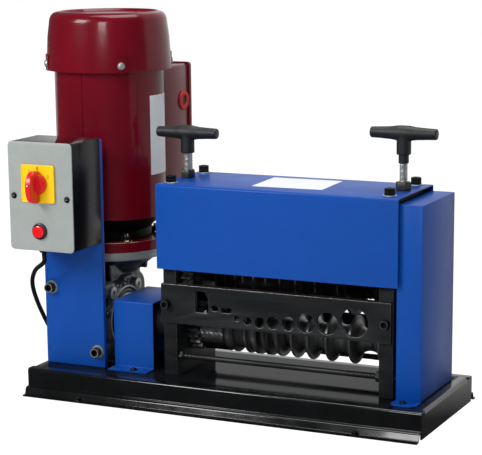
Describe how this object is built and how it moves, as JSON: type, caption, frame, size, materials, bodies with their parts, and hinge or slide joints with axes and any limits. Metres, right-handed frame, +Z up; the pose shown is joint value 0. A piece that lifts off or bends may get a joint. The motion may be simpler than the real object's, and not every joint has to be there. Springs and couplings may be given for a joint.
{
  "type": "motor driven cable stripping machine",
  "caption": "Bench machine that strips cable: an upright geared motor turns a grooved feed roller under circular knives, behind a drilled guide plate, with two T-handle adjusters.",
  "frame": {"origin": "middle of the machine's outline, on the floor it stands on", "axes": "+X to the operator's right along the roller, +Y away from the operator, +Z up"},
  "size_m": [0.7954, 0.4898, 0.677],
  "materials": {
    "blue_paint": "blue powder coat, satin",
    "black_gloss": "black paint, gloss",
    "black_shell": "moulded black, matte",
    "grey_panel": "grey, fine satin",
    "yellow_plate": "yellow, semi-gloss",
    "red_knob": "red moulded, gloss",
    "red_lens": "clear red, polished",
    "dark_bezel": "dark grey, semi-gloss",
    "cord_black": "black cord jacket",
    "red_rubber": "red rubber bush",
    "wine_paint": "wine red enamel, gloss",
    "black_cast": "black painted casting",
    "fan_plastic": "moulded black",
    "cast_alloy": "machined casting",
    "machined_steel": "turned and oiled",
    "black_steel": "blackened, oiled",
    "zinc_steel": "zinc plated",
    "bronze": "machined bronze",
    "black_grip": "moulded black, matte"
  },
  "bodies": {
    "machine_frame": {"base_deck": "black_gloss", "front_rail": "black_gloss", "rear_rail": "black_gloss", "base_end_left": "black_gloss", "base_end_right": "black_gloss", "column_plate": "blue_paint", "column_bolt_upper": "black_steel", "column_bolt_lower": "black_steel", "control_box": "black_shell", "control_panel": "grey_panel", "switch_plate": "yellow_plate", "lamp_bezel": "dark_bezel", "lamp_lens": "red_lens", "box_gland": "black_shell", "motor_lead": "cord_black", "motor_body": "wine_paint", "end_bell": "black_cast", "motor_flange": "wine_paint", "fan_cowl": "wine_paint", "stator": "machined_steel", "terminal_box": "wine_paint", "terminal_lid": "wine_paint", "cable_grommet": "red_rubber", "adapter_plate": "cast_alloy", "gearbox_housing": "black_cast", "gearbox_cover": "black_cast", "coupling_guard": "blue_paint", "side_plate_left": "black_steel", "side_plate_right": "black_steel", "front_tie_rod": "zinc_steel", "rear_tie_rod": "zinc_steel", "rest_bar": "black_steel", "guide_plate": "black_steel", "guide_screw_left": "black_steel", "guide_screw_right": "black_steel", "hex_nut_left": "zinc_steel", "hex_nut_right": "zinc_steel", "housing": "blue_paint", "housing_screw_left_front": "black_steel", "housing_screw_left_rear": "black_steel", "housing_screw_right_front": "black_steel", "housing_screw_right_rear": "black_steel", "end_cover": "blue_paint"},
    "feed_roller_set": {"feed_roller": "machined_steel", "feed_gear": "black_steel", "drive_coupling": "black_steel", "worm_wheel": "bronze"},
    "motor_shaft_set": {"motor_rotor": "machined_steel", "cooling_fan": "fan_plastic", "worm": "machined_steel"},
    "knife_carriage": {"bearing_block_left": "black_steel", "bearing_block_right": "black_steel"},
    "knife_shaft_set": {"blade_shaft": "machined_steel", "blade_stack": "machined_steel", "blade_gear": "black_steel"},
    "adjuster_left": {"adjuster_screw_left": "zinc_steel", "t_grip_left": "black_grip"},
    "adjuster_right": {"adjuster_screw_right": "zinc_steel", "t_grip_right": "black_grip"},
    "switch_set": {"switch_knob": "red_knob"}
  },
  "joints": [
    {"name": "motor_spin", "type": "hinge", "parent": "machine_frame", "child": "motor_shaft_set", "pos_m": [-0.28325, 0.0409, 0.4], "axis": [0, 0, 1], "continuous": true},
    {"name": "roller_spin", "type": "hinge", "parent": "machine_frame", "child": "feed_roller_set", "pos_m": [0.09075, -0.0241, 0.125], "axis": [1, 0, 0], "continuous": true},
    {"name": "knife_lift", "type": "slide", "parent": "machine_frame", "child": "knife_carriage", "axis": [0, 0, 1], "range_m": [0, 0.004]},
    {"name": "knife_spin", "type": "hinge", "parent": "knife_carriage", "child": "knife_shaft_set", "pos_m": [0.09075, -0.0241, 0.229], "axis": [1, 0, 0], "continuous": true},
    {"name": "adjuster_left_turn", "type": "hinge", "parent": "knife_carriage", "child": "adjuster_left", "pos_m": [-0.09175, -0.0241, 0.43], "axis": [0, 0, 1], "range_deg": [0, 720]},
    {"name": "adjuster_right_turn", "type": "hinge", "parent": "knife_carriage", "child": "adjuster_right", "pos_m": [0.31275, -0.0241, 0.43], "axis": [0, 0, 1], "range_deg": [0, 720]},
    {"name": "switch_turn", "type": "hinge", "parent": "machine_frame", "child": "switch_set", "pos_m": [-0.28925, -0.2111, 0.3935], "axis": [0, 1, 0], "range_deg": [-60, 60]}
  ],
  "couplings": [
    {"joint": "roller_spin", "follows": "motor_spin", "ratio": -0.033333},
    {"joint": "knife_spin", "follows": "motor_spin", "ratio": 0.020833},
    {"joint": "adjuster_left_turn", "follows": "knife_lift", "rad_per_m": 3141.6},
    {"joint": "adjuster_right_turn", "follows": "knife_lift", "rad_per_m": 3141.6}
  ]
}
